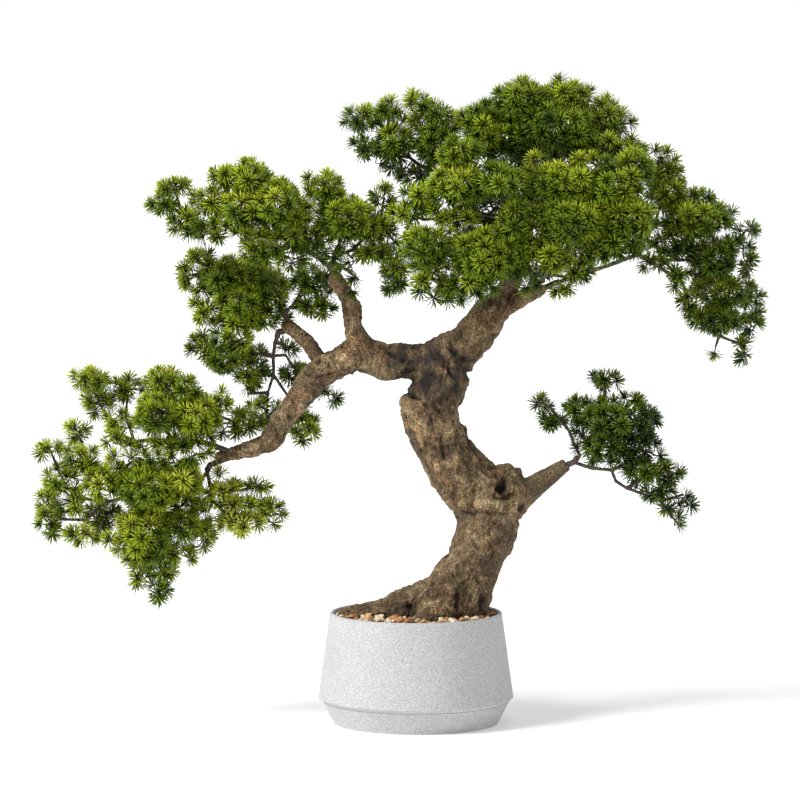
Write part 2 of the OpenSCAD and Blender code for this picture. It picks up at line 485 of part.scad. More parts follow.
module low_left_inner_stem() { wires(LOW_LEFT_INNER_WIRES); }
module low_left_inner_needles() { pads(LOW_LEFT_INNER_PADS, GREEN); }
module low_right_stem() { wires(LOW_RIGHT_WIRES); }
module low_right_needles() { pads(LOW_RIGHT_PADS, DEEP_GREEN); }

saucer();
planter_pot();
drain_plug();
cement_ballast();
foam_block();
soil_layer();
pale_stones();
tan_stones();
rust_stones();
core_rod();
limb_wire();
leader_wire();
lower_trunk();
leader();
left_limb();
upright_branch();
back_branch();
low_right_branch();
stem_pegs();
crown_top_stem();
crown_top_needles();
crown_back_stem();
crown_back_needles();
crown_front_left_stem();
crown_front_left_needles();
crown_front_right_stem();
crown_front_right_needles();
crown_left_stem();
crown_left_needles();
crown_right_stem();
crown_right_needles();
upper_left_stem();
upper_left_needles();
upper_middle_stem();
upper_middle_needles();
mid_left_stem();
mid_left_needles();
hanging_left_stem();
hanging_left_needles();
low_left_upper_stem();
low_left_upper_needles();
low_left_lower_stem();
low_left_lower_needles();
low_left_inner_stem();
low_left_inner_needles();
low_right_stem();
low_right_needles();
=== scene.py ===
"""Looks of an artificial tabletop pine in a round planter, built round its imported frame.

Bark, stems and needle pads are grown over the CAD model's own solids, so each follows its node's place
and size. Lengths are in metres, written as millimetres times MM. X is to the tree's right, Y to its
back, Z up.
"""

import json
import math

import bmesh
import bpy
import numpy as np
from mathutils import Matrix, Vector, noise
from mathutils.bvhtree import BVHTree
from mathutils.kdtree import KDTree


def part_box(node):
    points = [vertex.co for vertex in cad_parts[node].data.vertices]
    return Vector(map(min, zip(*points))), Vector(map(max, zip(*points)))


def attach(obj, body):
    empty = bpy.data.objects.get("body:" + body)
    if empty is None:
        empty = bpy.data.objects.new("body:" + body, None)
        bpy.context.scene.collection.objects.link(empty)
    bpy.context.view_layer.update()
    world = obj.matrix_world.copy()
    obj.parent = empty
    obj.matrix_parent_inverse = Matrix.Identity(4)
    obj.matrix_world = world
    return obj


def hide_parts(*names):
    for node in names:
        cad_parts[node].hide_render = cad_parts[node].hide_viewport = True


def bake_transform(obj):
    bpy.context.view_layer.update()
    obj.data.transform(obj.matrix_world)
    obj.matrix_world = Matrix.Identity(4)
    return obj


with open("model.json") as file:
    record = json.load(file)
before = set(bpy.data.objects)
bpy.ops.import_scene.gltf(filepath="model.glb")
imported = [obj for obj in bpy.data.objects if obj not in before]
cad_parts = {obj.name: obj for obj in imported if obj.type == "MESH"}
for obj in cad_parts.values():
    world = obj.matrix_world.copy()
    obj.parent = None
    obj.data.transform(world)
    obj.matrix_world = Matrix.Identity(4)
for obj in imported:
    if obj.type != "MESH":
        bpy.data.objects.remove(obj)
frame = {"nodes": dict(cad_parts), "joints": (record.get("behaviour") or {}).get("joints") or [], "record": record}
noise.seed_set(7)           # noise_vector takes its offsets from this seed
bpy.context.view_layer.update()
NODES = frame["nodes"]
BODIES = frame["record"]["behaviour"]["bodies"]
BODY_OF = {node: body for body, nodes in BODIES.items() for node in nodes}
MM = 0.001
ANY_TURN = 6.3              # radians: a random share of it turns a piece any way round
FIXED_BODY = BODY_OF["lower_trunk"]

# The camera looks at AIM from the front, a little above level, and FIELD metres fill the picture's width
AIM = Vector((-16 * MM, 0, 324.5 * MM))
ELEVATION = math.radians(4.5)
FIELD = 0.8
LENS = 175
SENSOR = 36
FLOOR_GLOW = 0.2            # the floor is a lit white sweep
FLOOR_REACH = 60
# Each lamp: the direction it shines in, its spread in degrees and its power
SUNS = {"key": ((0.78, 0.42, -0.75), 24, 3.2), "top": ((-0.1, -0.1, -1.0), 50, 1.0)}
SKY = [(0.1, (1.0, 1.0, 1.0)), (0.7, (0.2, 0.2, 0.2))]      # brightness of the sky, by height

# Each spray: how bright its needles are (0 deep green, 1 yellow-green), and the gap between its tufts in mm.
# mid_left's brightness is partly painted light, raised to make up for the shade of upper_left above it
SPRAYS = {
    "crown_top": (0.5, 10.8), "crown_back": (0.34, 13.5), "crown_front_left": (0.57, 10.6),
    "crown_front_right": (0.58, 10.6), "crown_left": (0.56, 11.2), "crown_right": (0.52, 11.2),
    "upper_left": (0.66, 11.4), "upper_middle": (0.6, 11.4), "mid_left": (0.6, 11.4),
    "hanging_left": (0.6, 12.0), "low_left_upper": (0.7, 11.6), "low_left_lower": (0.72, 11.6),
    "low_left_inner": (0.76, 11.6), "low_right": (0.34, 11.6),
}
# Tufts that sprout beyond a spray's pad, seen from the front: [x, z]
SPROUTS = {
    "crown_top": [[166, 562], [180, 560], [60, 612], [138, 569], [151, 567], [163, 571], [176, 572]],
    "crown_front_left": [[4, 436], [17, 430], [31, 428], [45, 430], [59, 435], [20, 514], [30, 508],
        [74, 441], [100, 548], [102, 534], [101, 520], [100, 486], [101, 470], [98, 456], [30, 458],
        [31, 494]],
    "crown_front_right": [[146, 440], [108, 441], [120, 444], [184, 474], [198, 475], [212, 476],
        [160, 565], [174, 565], [187, 562], [116, 566], [112, 553], [115, 540], [112, 527], [114, 513],
        [113, 499], [112, 486], [115, 473], [112, 460], [150, 440], [139, 437]],
    "crown_left": [[-36, 560], [-24, 557], [-13, 555], [-14, 602], [-2, 600], [36, 605], [41, 598],
        [3, 606]],
    "crown_right": [[230, 486], [228, 476], [240, 572], [252, 570], [258, 562], [262, 552], [264, 541],
        [312, 498], [342, 411], [341, 400], [339, 421], [273, 418], [276, 408], [258, 440], [326, 366],
        [222, 512], [224, 499]],
    "upper_left": [[-238, 497], [-224, 494], [-211, 490], [-88, 484], [-92, 473], [-82, 468], [-106, 531],
        [-107, 518], [-107, 505], [-100, 492], [-196, 490], [-98, 480], [-94, 466]],
    "upper_middle": [[-76, 480], [-66, 463], [-62, 448], [-64, 434], [-28, 518], [-22, 484], [-18, 470],
        [-17, 441], [-26, 437], [-14, 456], [-30, 508], [-106, 546], [-104, 537], [-38, 522], [-72, 472],
        [-74, 456]],
    "mid_left": [[-222, 468], [-232, 456], [-229, 441], [-217, 432], [-220, 420], [-215, 406], [-88, 430],
        [-84, 441], [-92, 446], [-210, 437], [-206, 428]],
    "hanging_left": [[-222, 382], [-214, 387], [-212, 369], [-226, 372], [-170, 334], [-163, 339],
        [-131, 402]],
    "low_left_upper": [[-206, 290], [-194, 291], [-180, 291], [-167, 295], [-156, 300], [-285, 282],
        [-272, 281], [-258, 284], [-286, 299], [-216, 272], [-218, 284], [-262, 267], [-250, 266],
        [-236, 266], [-224, 268], [-208, 274]],
    "low_left_lower": [[-284, 269], [-270, 271], [-256, 271], [-243, 269], [-313, 197], [-305, 187],
        [-296, 177], [-287, 166], [-280, 156], [-258, 132], [-250, 140], [-228, 170], [-223, 177],
        [-374, 227], [-364, 192], [-341, 236], [-338, 226], [-324, 262], [-300, 270], [-230, 262], [-222, 240],
        [-226, 166], [-214, 214], [-212, 193], [-220, 188]],
    "low_left_inner": [[-206, 232], [-202, 222], [-196, 252]],
    "low_right": [[134, 301], [129, 308], [163, 301], [239, 304], [262, 220], [269, 228], [262, 207],
        [232, 288], [161, 293], [167, 288], [178, 266], [192, 264], [204, 262], [242, 270], [274, 220]],
}
SPROUT_NEIGHBOURS = 30      # trial points that a sprout takes its depth and direction from
CANDIDATES = 60             # trial points for each square centimetre of a pad's surface
TUFT_REACH = 13.3 * MM      # length of a needle
TUFT_INSET = 6.4 * MM       # how deep a tuft's centre lies under its pad's surface
TOP_INSET = 3.6 * MM        # how much deeper it lies where the surface faces up
TUFT_STRAY = 1.9 * MM       # how far a tuft strays from that depth
INSET_MOST = 0.45           # a tuft lies no deeper than this share of its pad's thickness
UP_LEAN = 0.5               # how far tufts turn up from their pad's surface
NEEDLES = 40                # needles in a tuft
NEEDLE_HALF_WIDTH = 0.72 * MM
NEEDLE_KEEL = 0.45 * MM
NEEDLE_FOOT = 1.2 * MM      # distance from a tuft's centre to where its needles start
NEEDLE_SPIN = math.radians(137.5)   # turn from one needle to the next round a tuft's axis
NEEDLE_FACES = [[0, 2, 1], [0, 1, 4, 3], [1, 2, 5, 4], [2, 0, 3, 5], [3, 4, 6], [4, 5, 6], [5, 3, 6]]
NEEDLE_CORNERS = 7          # three at the foot, three at the waist and the tip
TWIG_RADIUS = 0.7 * MM
TWIG_MOST = 1.7 * MM
TWIG_SIDES = 6
TWIG_FOOT = 4.5 * MM        # how far behind a tuft's centre its twig comes in
WIRE_VOXEL = 0.8 * MM
BEND_CLEAR = 8 * MM         # stem points nearer than this to a bend don't show which way its wire runs
BEND_NEIGHBOURS = 30        # the stem points beyond it that do
BEND_RADIUS = 3 * MM
BEND_SIDES = 12

WOOD = ["lower_trunk", "leader", "left_limb", "upright_branch", "back_branch", "low_right_branch"]
WOOD_VOXEL = 1.15 * MM
# Knots and hollows on the bark's front: [x, z, radius, height], below 0 for a hollow
SCARS = [[85, 238, 5, -9], [87, 246, 3, -5], [105, 217, 4, -6], [68, 124, 6, -5], [36, 262, 5, 3.5],
    [41, 270, 4.5, 4.5], [34, 262, 3.5, 3], [71, 186, 5, 4], [-96, 364, 8, 4], [-96, 364, 3, -5],
    [-69, 368, 7, 3.5], [-7, 321, 10, 5], [-11, 309, 3.5, -3.5], [14, 316, 6, 3], [40, 355, 7, 4],
    [50, 345, 5, 3.5], [27, 386, 10, 4], [-14, 378, 6, 3.5], [50, 372, 7, 3], [40, 131, 3, -3.5],
    [41, 122, 3, -3.5], [-7, 119, 4, -4], [17, 241, 5, 3], [102, 199, 5, 3], [70, 262, 4, 2.5],
    [20, 122, 12, 3], [62, 148, 8, 2.5], [-126, 320, 6, 3], [-150, 285, 5, 2.5], [78, 396, 6, 3],
    [66, 226, 11, 3], [-40, 362, 6, 2.5], [8, 290, 6, 2.5], [34, 296, 5, 2.5], [58, 394, 5, 3],
    [100, 236, 6, 3], [12, 345, 6, -3], [28, 337, 5, 3], [-30, 352, 5, 3], [95, 172, 5, 3],
    [60, 205, 5, 2], [30, 300, 8, 3], [2, 306, 7, 2.5], [58, 268, 5, 2.5]]
# Creases and seams that run over the bark: (radius, height, [[x, z], ...])
CREASES = [
    (1.8, -1.9, [[37, 213], [44, 215], [55, 213.5], [63, 215], [72, 215.5], [82, 213], [94, 213.5],
                 [104, 208]]),
    (5.0, 2.6, [[42, 222], [56, 222], [70, 224], [84, 222]]),
    (1.6, -2.4, [[24, 318], [28, 308], [26, 296], [25, 284], [28, 273], [30, 262]]),
    (1.6, -2.2, [[44, 322], [45, 308], [50, 296], [54, 282], [60, 270], [71, 258], [80, 250]]),
    (2.0, -3.4, [[-14, 333], [-4, 332], [4, 325], [11, 319], [15, 309], [17, 298]]),
    (1.6, -2.4, [[60, 150], [64, 138], [66, 126], [66, 112]]),
    (1.6, -2.2, [[40, 138], [42, 128], [40, 116]]),
    (1.8, -2.6, [[-36, 378], [-24, 372], [-14, 364], [-8, 352]]),
    (1.6, -2.2, [[34, 382], [40, 372], [50, 366], [60, 364]]),
    (1.6, -2.6, [[16, 372], [24, 362], [34, 356], [42, 344], [40, 334]]),
    (1.4, -2.0, [[-110, 352], [-98, 348], [-84, 352], [-70, 350], [-56, 354]]),
    (1.4, -1.8, [[78, 240], [80, 230], [90, 228], [98, 234], [98, 244]]),
    (2.8, 3.0, [[72, 246], [78, 254], [90, 256], [100, 250], [106, 240]]),
    (3.0, 2.2, [[-2, 300], [4, 288], [12, 272], [22, 258], [34, 244], [44, 232]])]
# Dark stains at the fork: x, z and radius
STAINS = [(6, 360, 24), (24, 348, 24), (-14, 366, 17), (42, 364, 17)]
KNOBS_BEHIND = 26           # knots scattered over the rest of the bark
BARK_WEAVE = 9 * MM         # size of the patches that vary the creases and stains
SMOOTH_START = 26 * MM      # how far out the low right branch turns smooth
SMOOTH_RUN = 14 * MM        # and over what length
DARK_FOOT_BAND = 9 * MM         # height of the darker band just above the soil
GREY_TOP = 140 * MM         # the bark greys slightly from here down
GREY_RUN = 40 * MM

# Working values for the meshes
WELD = 0.01 * MM            # corners nearer than this are one
STEEP = 0.9                 # a direction this much along an axis is squared up against another axis
RELAX_IN = 0.6              # share of the way to its neighbours' mean that relaxing moves a vertex
RELAX_OUT = 0.55            # and the share that it then moves back


# ---------------------------------------------------------------- meshes

def linked(name, data):
    """A new object in the scene that holds this mesh, camera or lamp."""
    made = bpy.data.objects.new(name, data)
    bpy.context.scene.collection.objects.link(made)
    return made


def new_object(name, verts, faces):
    """A smooth-shaded mesh object from rows of points and rows of corner numbers."""
    mesh = bpy.data.meshes.new(name)
    mesh.from_pydata(np.asarray(verts).tolist(), [], [list(f) for f in faces])
    mesh.polygons.foreach_set("use_smooth", np.ones(len(mesh.polygons), bool))
    mesh.update()
    return linked(name, mesh)


def points_of(mesh):
    """A mesh's vertices as rows."""
    flat = np.zeros(len(mesh.vertices) * 3)
    mesh.vertices.foreach_get("co", flat)
    return flat.reshape(-1, 3)


def normals_of(mesh):
    """The outward directions at a mesh's vertices, as rows."""
    flat = np.zeros(len(mesh.vertices) * 3)
    mesh.vertices.foreach_get("normal", flat)
    return flat.reshape(-1, 3)


def faces_of(mesh):
    """The corner numbers of each of a mesh's faces."""
    return [list(f.vertices) for f in mesh.polygons]


def welded(node):
    """(points, triangles) of a CAD node with its doubled corners merged."""
    mesh = NODES[node].data
    mesh.calc_loop_triangles()
    triangles = np.zeros(len(mesh.loop_triangles) * 3, int)
    mesh.loop_triangles.foreach_get("vertices", triangles)
    rounded = np.round(points_of(mesh) / WELD).astype(int)
    _, first, inverse = np.unique(rounded, axis=0, return_index=True, return_inverse=True)
    triangles = inverse.reshape(-1)[triangles].reshape(-1, 3)
    a, b, c = triangles.T
    return points_of(mesh)[first], triangles[(a != b) & (b != c) & (a != c)]


def loose_parts(node):
    """The points of each separate solid in a CAD node, from the lowest to the highest."""
    points, triangles = welded(node)
    group = np.arange(len(points))
    while True:
        lowest = group[triangles].min(1)
        merged = group.copy()
        for corner in range(3):
            np.minimum.at(merged, triangles[:, corner], lowest)
        merged = merged[merged]
        if (merged == group).all():
            break
        group = merged
    parts = [points[group == g] for g in np.unique(group)]
    return sorted(parts, key=lambda p: tuple(np.round(p.mean(0), 5)))


def unit(rows):
    """These rows, or this one row, at length 1."""
    return rows / np.maximum(np.linalg.norm(rows, axis=-1, keepdims=True), 1e-12)


def vertex_normals(points, triangles):
    """Each point's outward normal, weighted by the area round it."""
    a, b, c = (points[triangles[:, k]] for k in range(3))
    across = np.cross(b - a, c - a)
    normals = np.zeros_like(points)
    for k in range(3):
        np.add.at(normals, triangles[:, k], across)
    return unit(normals)


def remeshed(name, nodes, voxel, smoothing):
    """One closed, evenly faced object over all these CAD nodes, with its creases relaxed."""
    verts, faces, start = [], [], 0
    for node in nodes:
        points, triangles = welded(node)
        verts.append(points)
        faces += (triangles + start).tolist()
        start += len(points)
    rough = new_object(name + "_rough", np.concatenate(verts), faces)
    modifier = rough.modifiers.new("even", "REMESH")
    modifier.mode = "VOXEL"
    modifier.voxel_size = voxel
    bpy.context.view_layer.update()
    mesh = bpy.data.meshes.new_from_object(rough.evaluated_get(bpy.context.evaluated_depsgraph_get()))
    bpy.data.objects.remove(rough)
    mesh.name = name
    mesh.polygons.foreach_set("use_smooth", np.ones(len(mesh.polygons), bool))
    relax(mesh, smoothing)
    return linked(name, mesh)


def relax(mesh, rounds):
    """Evens out the surface: each vertex moves to its neighbours' mean and part of the way back."""
    edges = np.zeros(len(mesh.edges) * 2, int)
    mesh.edges.foreach_get("vertices", edges)
    edges = edges.reshape(-1, 2)
    points = points_of(mesh)
    count = np.bincount(edges.ravel(), minlength=len(points))[:, None]
    for step in range(rounds * 2):
        total = np.zeros_like(points)
        np.add.at(total, edges[:, 0], points[edges[:, 1]])
        np.add.at(total, edges[:, 1], points[edges[:, 0]])
        share = RELAX_IN if step % 2 == 0 else -RELAX_OUT
        points += share * (total / np.maximum(count, 1) - points)
    mesh.vertices.foreach_set("co", points.ravel())
    mesh.update()


def displace(mesh, height):
    """Moves each vertex along its normal by height(point), in metres."""
    points = points_of(mesh)
    heights = np.array([height(Vector(p)) for p in points])
    mesh.vertices.foreach_set("co", (points + normals_of(mesh) * heights[:, None]).ravel())
    mesh.update()


def joined(name, parts):
    """One object from (points, faces) parts."""
    verts, faces, start = [], [], 0
    for points, part_faces in parts:
        verts.append(np.asarray(points))
        faces += [[i + start for i in f] for f in part_faces]
        start += len(points)
    return new_object(name, np.concatenate(verts), faces)


def tube(path, radii, sides=TWIG_SIDES):
    """(points, faces) of a closed round tube along a path, with a radius at each of its points."""
    path = np.asarray(path, float)
    along = unit(np.gradient(path, axis=0))
    side = np.cross(along[0], [0, 0, 1] if abs(along[0][2]) < STEEP else [1, 0, 0])
    rings = []
    angles = np.linspace(0, 2 * math.pi, sides, endpoint=False)
    for point, direction, radius in zip(path, along, radii):
        side = unit(side - direction * (side @ direction))
        other = np.cross(direction, side)
        rings.append(point + radius * (np.cos(angles)[:, None] * side + np.sin(angles)[:, None] * other))
    last = (len(path) - 1) * sides
    faces = []
    for ring in range(0, last, sides):
        for k in range(sides):
            after = (k + 1) % sides
            faces.append([ring + k, ring + after, ring + sides + after, ring + sides + k])
    faces += [list(range(sides))[::-1], list(range(last, last + sides))]
    return np.concatenate(rings), faces


# ---------------------------------------------------------------- materials

def node_tools(tree):
    """(add, link) for a node tree: add makes a shader node with these settings, link joins two sockets."""
    def add(kind, **settings):
        node = tree.nodes.new("ShaderNode" + kind)
        for key, value in settings.items():
            setattr(node, key, value)
        return node

    def link(source, target):
        tree.links.new(source, target)

    return add, link


def material(name, roughness, base=(0.5, 0.5, 0.5)):
    """(material, node maker, linker, principled shader)"""
    made = bpy.data.materials.new(name)
    made.use_nodes = True
    shader = made.node_tree.nodes["Principled BSDF"]
    shader.inputs["Roughness"].default_value = roughness
    shader.inputs["Base Color"].default_value = (*base, 1)
    return made, *node_tools(made.node_tree), shader


def ramp(add, stops):
    """A colour ramp with (place, colour) stops."""
    node = add("ValToRGB")
    elements = node.color_ramp.elements
    while len(elements) < len(stops):
        elements.new(0.5)
    for element, (place, colour) in zip(elements, stops):
        element.position = place
        element.color = (*colour, 1)
    return node


def mix(add, link, kind, factor, first, second):
    """A colour mix. factor, first and second are sockets or values."""
    node = add("Mix", data_type="RGBA", blend_type=kind)
    colours = [socket for socket in node.inputs if socket.type == "RGBA"]
    for socket, value in ((node.inputs["Factor"], factor), (colours[0], first), (colours[1], second)):
        if isinstance(value, bpy.types.NodeSocket):
            link(value, socket)
        else:
            socket.default_value = value if isinstance(value, float) else (*value, 1)
    return next(socket for socket in node.outputs if socket.type == "RGBA")


def texture(add, link, kind, place, scale, detail=4.0, roughness=0.55, distortion=0.0):
    """A Noise or Voronoi texture at this place; scale is in repeats per metre."""
    node = add("Tex" + kind)
    node.inputs["Scale"].default_value = scale
    if kind == "Noise":
        node.inputs["Detail"].default_value = detail
        node.inputs["Roughness"].default_value = roughness
        node.inputs["Distortion"].default_value = distortion
    link(place, node.inputs["Vector"])
    return node


def bump(add, link, shader, heights):
    """Chains (height socket, depth in metres) bumps into the shader's normal."""
    before = None
    for height, depth in heights:
        node = add("Bump")
        node.inputs["Strength"].default_value = 1.0
        node.inputs["Distance"].default_value = depth
        link(height, node.inputs["Height"])
        if before:
            link(before, node.inputs["Normal"])
        before = node.outputs["Normal"]
    link(before, shader.inputs["Normal"])


def needle_material():
    """Across the map runs a tuft's tone, from deep to yellow green; up it runs a needle, foot to tip, with painted
    shade at the foot and a painted highlight at the tip.
    """
    made, add, link, shader = material("needle_plastic", 0.36)
    place = add("UVMap", uv_map="OFBake")
    parts = add("SeparateXYZ")
    link(place.outputs["UV"], parts.inputs["Vector"])
    tone = ramp(add, [(0.0, (0.012, 0.03, 0.002)), (0.25, (0.052, 0.1, 0.004)), (0.5, (0.15, 0.23, 0.006)),
                      (0.75, (0.34, 0.43, 0.012)), (1.0, (0.62, 0.67, 0.05))])
    link(parts.outputs["X"], tone.inputs["Fac"])
    # Painted shade at each needle's foot and a whitish painted highlight at its tip
    along = ramp(add, [(0.0, (0.1, 0.1, 0.08)), (0.3, (0.55, 0.57, 0.5)), (0.65, (1.05, 1.08, 0.9)),
                       (1.0, (1.75, 1.7, 2.8))])
    link(parts.outputs["Y"], along.inputs["Fac"])
    stretch = add("Mapping")
    stretch.inputs["Scale"].default_value = (90, 2, 1)
    link(place.outputs["UV"], stretch.inputs["Vector"])
    mottle = ramp(add, [(0.3, (0.8, 0.8, 0.8)), (0.7, (1.2, 1.2, 1.15))])
    grain = texture(add, link, "Noise", stretch.outputs["Vector"], 1.0, 3.0)
    link(grain.outputs["Fac"], mottle.inputs["Fac"])
    shaded = mix(add, link, "MULTIPLY", 1.0, tone.outputs["Color"], along.outputs["Color"])
    link(mix(add, link, "MULTIPLY", 1.0, shaded, mottle.outputs["Color"]), shader.inputs["Base Color"])
    shader.inputs["Specular IOR Level"].default_value = 0.28
    return made


def stem_material():
    """Dark brown plastic sleeve of the wires, blotched and finely scored."""
    made, add, link, shader = material("stem_sleeve", 0.5)
    place = add("TexCoord").outputs["Object"]
    blotch = texture(add, link, "Noise", place, 160, 5.0)
    fine = texture(add, link, "Noise", place, 900, 3.0)
    tint = ramp(add, [(0.3, (0.018, 0.011, 0.01)), (0.55, (0.06, 0.036, 0.032)), (0.8, (0.15, 0.1, 0.085))])
    link(blotch.outputs["Fac"], tint.inputs["Fac"])
    link(tint.outputs["Color"], shader.inputs["Base Color"])
    bump(add, link, shader, [(blotch.outputs["Fac"], 0.5 * MM), (fine.outputs["Fac"], 0.15 * MM)])
    return made


def bark_material():
    """Painted resin bark: brown with swirling fibres and dark stains, with a painted highlight where it stands
    proud and painted shade in its pits.
    """
    made, add, link, shader = material("bark_paint", 0.42)
    place = add("TexCoord").outputs["Object"]
    broad = texture(add, link, "Noise", place, 34, 5.0, 0.62, 0.8)
    hue = texture(add, link, "Noise", place, 55, 3.0, 0.5, 1.2)
    fibres = texture(add, link, "Noise", place, 150, 4.0, 0.62, 2.8)
    strands = texture(add, link, "Noise", place, 420, 3.0, 0.65, 2.4)
    flecks = texture(add, link, "Noise", place, 950, 2.0, 0.7, 0.6)
    body = ramp(add, [(0.34, (0.13, 0.085, 0.048)), (0.46, (0.215, 0.153, 0.09)),
                      (0.56, (0.29, 0.22, 0.138)), (0.66, (0.44, 0.36, 0.25))])
    link(broad.outputs["Fac"], body.inputs["Fac"])
    cast = ramp(add, [(0.36, (1.1, 0.97, 0.9)), (0.5, (1.0, 1.0, 1.0)), (0.64, (0.94, 0.98, 0.88))])
    link(hue.outputs["Fac"], cast.inputs["Fac"])
    streak = ramp(add, [(0.34, (0.4, 0.35, 0.31)), (0.43, (0.9, 0.88, 0.86)), (0.48, (1.25, 1.22, 1.15)),
                        (0.5, (0.62, 0.57, 0.52)), (0.525, (1.3, 1.27, 1.2)), (0.6, (0.95, 0.95, 0.95)),
                        (0.68, (1.9, 1.8, 1.55))])
    link(fibres.outputs["Fac"], streak.inputs["Fac"])
    strand = ramp(add, [(0.38, (0.22, 0.19, 0.17)), (0.46, (0.72, 0.7, 0.68)), (0.52, (1.02, 1.02, 1.0)),
                        (0.57, (1.3, 1.28, 1.22)), (0.63, (2.1, 2.05, 1.8))])
    link(strands.outputs["Fac"], strand.inputs["Fac"])
    speck = ramp(add, [(0.36, (0.3, 0.27, 0.25)), (0.46, (0.82, 0.81, 0.79)), (0.54, (1.12, 1.12, 1.1)),
                       (0.64, (1.9, 1.85, 1.65))])
    link(flecks.outputs["Fac"], speck.inputs["Fac"])
    painted = body.outputs["Color"]
    for layer in (cast, streak, strand, speck):
        painted = mix(add, link, "MULTIPLY", 1.0, painted, layer.outputs["Color"])
    relief = add("VertexColor", layer_name="relief")
    split = add("SeparateColor")
    link(relief.outputs["Color"], split.inputs["Color"])
    # Painted shade in the bark's hollows and a painted highlight on its rises, from its height in the relief
    # colour's red
    height_light = ramp(add, [(0.2, (0.0, 0.0, 0.0)), (0.8, (1.0, 1.0, 1.0))])
    link(split.outputs["Red"], height_light.inputs["Fac"])
    hollow_shade_and_rise_highlight = mix(add, link, "MIX", height_light.outputs["Color"], (0.38, 0.33, 0.28), (1.6, 1.58, 1.5))
    painted = mix(add, link, "MULTIPLY", 1.0, painted, hollow_shade_and_rise_highlight)
    # Darkens by the relief colour's green: real stains together with the painted shade in pits and creases
    stained_and_shaded = mix(add, link, "MULTIPLY", 1.0, painted, (0.2, 0.19, 0.22))
    painted = mix(add, link, "MIX", split.outputs["Green"], painted, stained_and_shaded)
    grey = mix(add, link, "MULTIPLY", 1.0, painted, (0.62, 0.67, 0.62))
    painted = mix(add, link, "MIX", split.outputs["Blue"], painted, grey)
    link(painted, shader.inputs["Base Color"])
    shader.inputs["Specular IOR Level"].default_value = 0.45
    bump(add, link, shader, [(fibres.outputs["Fac"], 3.2 * MM), (strands.outputs["Fac"], 2.0 * MM),
                             (flecks.outputs["Fac"], 0.6 * MM)])
    return made


def shell_material():
    """Sandy matt glaze: pale grey with white and dark specks and a fine grit."""
    made, add, link, shader = material("sandy_glaze", 0.72)
    place = add("TexCoord").outputs["Object"]
    specks = texture(add, link, "Noise", place, 1200, 2.0, 0.7)
    cloud = texture(add, link, "Noise", place, 25, 4.0)
    tint = ramp(add, [(0.32, (0.24, 0.24, 0.245)), (0.45, (0.41, 0.41, 0.415)), (0.55, (0.49, 0.49, 0.495)),
                      (0.68, (0.78, 0.78, 0.79))])
    link(specks.outputs["Fac"], tint.inputs["Fac"])
    wash = ramp(add, [(0.35, (0.97, 0.97, 0.97)), (0.65, (1.02, 1.02, 1.02))])
    link(cloud.outputs["Fac"], wash.inputs["Fac"])
    glaze = mix(add, link, "MULTIPLY", 1.0, tint.outputs["Color"], wash.outputs["Color"])
    link(glaze, shader.inputs["Base Color"])
    bump(add, link, shader, [(specks.outputs["Fac"], 0.35 * MM)])
    return made


def stone_material(name, dark, body, light):
    """A pitted stone in three tones of one colour."""
    made, add, link, shader = material(name, 0.5)
    place = add("TexCoord").outputs["Object"]
    broad = texture(add, link, "Noise", place, 90, 4.0, 0.6, 0.8)
    pits = texture(add, link, "Noise", place, 700, 4.0, 0.7)
    tint = ramp(add, [(0.3, dark), (0.5, body), (0.7, light)])
    link(broad.outputs["Fac"], tint.inputs["Fac"])
    # Darker in the bump's pits and lighter on its rises
    pit_tone = ramp(add, [(0.3, (0.55, 0.5, 0.45)), (0.5, (1.0, 1.0, 1.0)), (0.75, (1.15, 1.12, 1.1))])
    link(pits.outputs["Fac"], pit_tone.inputs["Fac"])
    colour = mix(add, link, "MULTIPLY", 1.0, tint.outputs["Color"], pit_tone.outputs["Color"])
    link(colour, shader.inputs["Base Color"])
    bump(add, link, shader, [(pits.outputs["Fac"], 0.3 * MM)])
    return made


def grainy_material(name, dark, light, scale, roughness, depth, metallic=0.0):
    """A two-tone mottled material with a bump of the same grain, for what lies inside and for the soil."""
    made, add, link, shader = material(name, roughness)
    shader.inputs["Metallic"].default_value = metallic
    place = add("TexCoord").outputs["Object"]
    grain = texture(add, link, "Noise", place, scale, 5.0, 0.65)
    tint = ramp(add, [(0.35, dark), (0.65, light)])
    link(grain.outputs["Fac"], tint.inputs["Fac"])
    link(tint.outputs["Color"], shader.inputs["Base Color"])
    bump(add, link, shader, [(grain.outputs["Fac"], depth)])
    return made


def wear(piece, *materials):
    """Gives the piece these materials and no others."""
    piece.data.materials.clear()
    for m in materials:
        piece.data.materials.append(m)


NEEDLE_PLASTIC = needle_material()
STEM_SLEEVE = stem_material()
BARK_PAINT = bark_material()
SANDY_GLAZE = shell_material()


# ---------------------------------------------------------------- bark

def ridges(place, scale):
    """A ridged noise from 0, in the furrows, to 1, on the ridges. scale is in metres."""
    return 1 - abs(noise.noise(place / scale)) * 2


def bark_relief(place):
    """Height of the bark at a place, in millimetres: lumps, long swirling furrows and fine wrinkles."""
    swirl = place + 9 * MM * noise.noise_vector(place / (22 * MM))
    lumps = noise.noise(place / (26 * MM)) * 2.2 + noise.noise(place / (11 * MM)) * 0.9
    furrows = ridges(Vector((swirl.x, swirl.y, swirl.z * 0.4)), 7 * MM) - 0.5
    wrinkles = ridges(Vector((swirl.x, swirl.y, swirl.z * 0.5)), 3.2 * MM) - 0.5
    return lumps + furrows * 1.4 + wrinkles * 1.4 - 0.6


def beside_line(rest, line):
    """Each point's distance from a line of [x, z] corners, seen from the front, in metres."""
    flat = rest[:, [0, 2]]
    nearest = np.full(len(rest), np.inf)
    for start, end in zip(line[:-1], line[1:]):
        run = end - start
        share = np.clip((flat - start) @ run / (run @ run), 0, 1)
        nearest = np.minimum(nearest, np.linalg.norm(flat - start - share[:, None] * run, axis=1))
    return nearest


